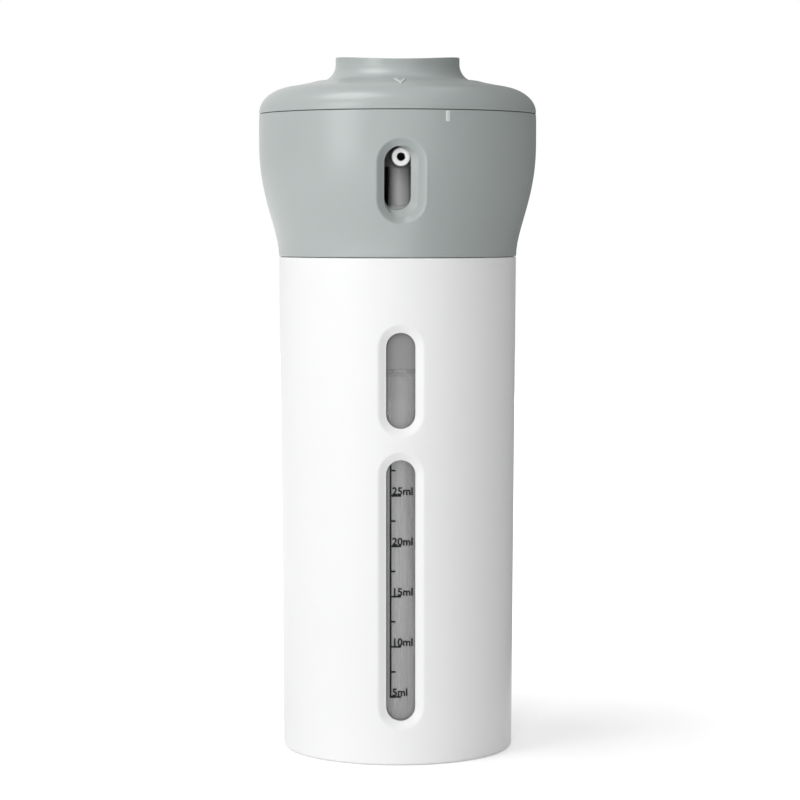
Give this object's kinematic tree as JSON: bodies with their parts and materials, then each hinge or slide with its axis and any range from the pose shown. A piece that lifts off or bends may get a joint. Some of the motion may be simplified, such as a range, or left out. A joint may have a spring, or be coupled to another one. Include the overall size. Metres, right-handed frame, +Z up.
{
  "type": "travel dispenser bottle",
  "caption": "Upright travel dispenser: white sleeve with windows, grey bowl-shaped head and domed cap; turning the cap brings a pump bottle to the nozzle window, its button dispenses.",
  "frame": {"origin": "middle of the foot ring, on the surface that the sleeve stands on", "axes": "+Z up along the sleeve; -Y is the front, where the windows and the nozzle face"},
  "size_m": [0.0686, 0.0686, 0.1711],
  "materials": {
    "white_shell": "glossy white moulding",
    "grey_head": "satin light grey moulding",
    "clear_bottle": "clear bottle plastic",
    "frosted_inner": "satin mid grey moulding",
    "pump_white": "white pump moulding",
    "seal_rubber": "soft seal",
    "spring_steel": "bright spring wire"
  },
  "bodies": {
    "sleeve": {"outer_sleeve": "white_shell"},
    "head": {"head_collar": "grey_head", "guide_deck": "frosted_inner", "click_spring": "spring_steel", "button_spring": "spring_steel"},
    "cap": {"selector_cap": "grey_head"},
    "button": {"press_button": "grey_head"},
    "plunger": {"press_plunger": "pump_white"},
    "carousel": {"turntable": "frosted_inner", "hub_clip": "spring_steel", "bottle_front": "clear_bottle", "closure_front": "frosted_inner", "neck_gasket_front": "seal_rubber", "pump_housing_front": "pump_white", "pump_gland_front": "pump_white", "inlet_ball_front": "spring_steel", "pump_spring_front": "spring_steel", "dip_tube_front": "pump_white", "bottle_right": "clear_bottle", "closure_right": "frosted_inner", "neck_gasket_right": "seal_rubber", "pump_housing_right": "pump_white", "pump_gland_right": "pump_white", "inlet_ball_right": "spring_steel", "pump_spring_right": "spring_steel", "dip_tube_right": "pump_white", "bottle_back": "clear_bottle", "closure_back": "frosted_inner", "neck_gasket_back": "seal_rubber", "pump_housing_back": "pump_white", "pump_gland_back": "pump_white", "inlet_ball_back": "spring_steel", "pump_spring_back": "spring_steel", "dip_tube_back": "pump_white", "bottle_left": "clear_bottle", "closure_left": "frosted_inner", "neck_gasket_left": "seal_rubber", "pump_housing_left": "pump_white", "pump_gland_left": "pump_white", "inlet_ball_left": "spring_steel", "pump_spring_left": "spring_steel", "dip_tube_left": "pump_white"},
    "pump_front": {"pump_piston_front": "pump_white", "actuator_front": "frosted_inner", "nozzle_tip_front": "pump_white"},
    "pump_right": {"pump_piston_right": "pump_white", "actuator_right": "frosted_inner", "nozzle_tip_right": "pump_white"},
    "pump_back": {"pump_piston_back": "pump_white", "actuator_back": "frosted_inner", "nozzle_tip_back": "pump_white"},
    "pump_left": {"pump_piston_left": "pump_white", "actuator_left": "frosted_inner", "nozzle_tip_left": "pump_white"}
  },
  "joints": [
    {"name": "head_lift", "type": "slide", "parent": "sleeve", "child": "head", "axis": [0, 0, 1], "range_m": [0, 0.125]},
    {"name": "cap_turn", "type": "hinge", "parent": "head", "child": "cap", "pos_m": [0, 0, 0.1571], "axis": [0, 0, 1], "continuous": true},
    {"name": "carousel_turn", "type": "hinge", "parent": "head", "child": "carousel", "pos_m": [0, 0, 0.1531], "axis": [0, 0, 1], "continuous": true},
    {"name": "button_press", "type": "slide", "parent": "cap", "child": "button", "axis": [0, 0, -1], "range_m": [0, 0.006], "stiffness_N_per_m": 300, "springref_m": -0.006, "deforming": ["button_spring"]},
    {"name": "plunger_press", "type": "slide", "parent": "head", "child": "plunger", "axis": [0, 0, -1], "range_m": [0, 0.006]},
    {"name": "pump_front_press", "type": "slide", "parent": "carousel", "child": "pump_front", "axis": [0, 0, -1], "range_m": [0, 0.006], "deforming": ["pump_spring_front"]},
    {"name": "pump_right_press", "type": "slide", "parent": "carousel", "child": "pump_right", "axis": [0, 0, -1], "range_m": [0, 0.006], "stiffness_N_per_m": 300, "springref_m": -0.006, "deforming": ["pump_spring_right"]},
    {"name": "pump_back_press", "type": "slide", "parent": "carousel", "child": "pump_back", "axis": [0, 0, -1], "range_m": [0, 0.006], "stiffness_N_per_m": 300, "springref_m": -0.006, "deforming": ["pump_spring_back"]},
    {"name": "pump_left_press", "type": "slide", "parent": "carousel", "child": "pump_left", "axis": [0, 0, -1], "range_m": [0, 0.006], "stiffness_N_per_m": 300, "springref_m": -0.006, "deforming": ["pump_spring_left"]}
  ],
  "couplings": [
    {"joint": "carousel_turn", "follows": "cap_turn", "ratio": 1},
    {"joint": "plunger_press", "follows": "button_press", "ratio": 1},
    {"joint": "pump_front_press", "follows": "button_press", "ratio": 1}
  ]
}
